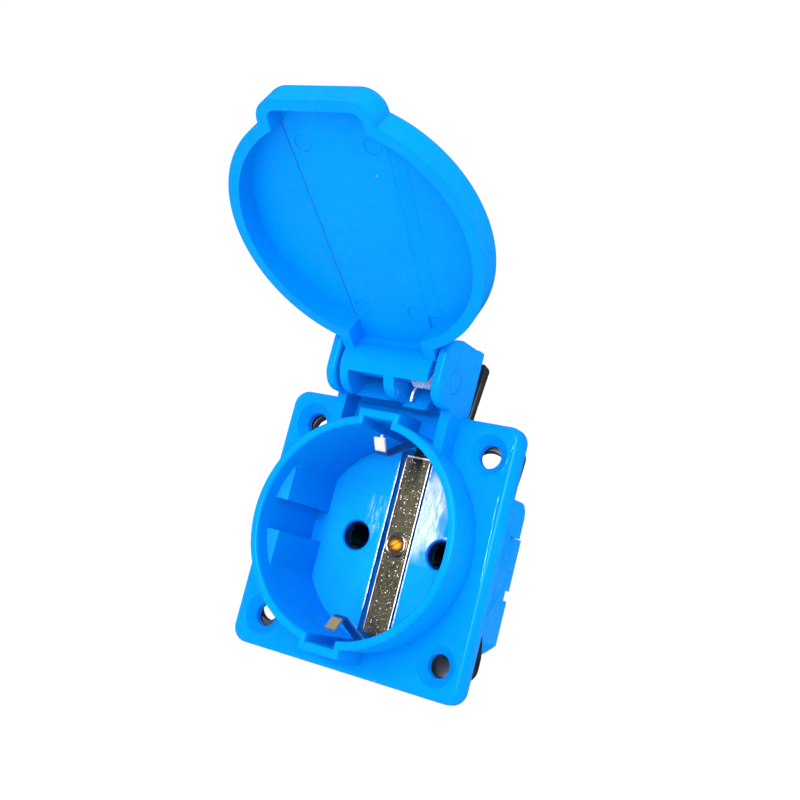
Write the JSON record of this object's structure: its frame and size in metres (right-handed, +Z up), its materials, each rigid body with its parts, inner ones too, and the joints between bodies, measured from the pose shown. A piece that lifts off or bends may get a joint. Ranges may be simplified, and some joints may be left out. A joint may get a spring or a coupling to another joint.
{
  "type": "panel socket",
  "caption": "Flanged two-pole panel socket with side earth clips, a round plug well, a sealing gasket, a rear terminal base and a hinged flap lid that stands open.",
  "frame": {"origin": "centre of the four panel screw holes at the flange's flat back face", "axes": "+X to the right of someone who faces the socket, +Y along the plug's way in, into the panel, +Z up towards the lid's hinge; the lid stands open"},
  "size_m": [0.05, 0.0838, 0.0903],
  "materials": {
    "blue_plastic": "moulded, slightly glossy, bright blue",
    "black_rubber": "dull black sheet",
    "spring_wire": "bright drawn spring wire",
    "nickel_strip": "frosted nickel-plated strip",
    "brass": "turned and stamped brass",
    "screw_steel": "zinc-plated steel"
  },
  "bodies": {
    "housing": {"front_housing": "blue_plastic", "hinge_pin": "blue_plastic", "lid_spring": "spring_wire", "panel_gasket": "black_rubber", "terminal_base": "blue_plastic", "earth_strap": "nickel_strip", "strap_eyelet": "nickel_strip", "centre_screw": "brass", "centre_nut": "brass", "earth_link": "brass", "contact_left": "brass", "contact_right": "brass", "contact_spring_left": "spring_wire", "contact_spring_right": "spring_wire", "terminal_left": "brass", "terminal_earth": "brass", "terminal_right": "brass", "terminal_screws": "screw_steel"},
    "lid": {"lid": "blue_plastic"}
  },
  "joints": [
    {"name": "lid_hinge", "type": "hinge", "parent": "housing", "child": "lid", "pos_m": [0, -0.00846, 0.03017], "axis": [1, 0, 0], "range_deg": [0, 124], "deforming": ["lid_spring"]}
  ]
}
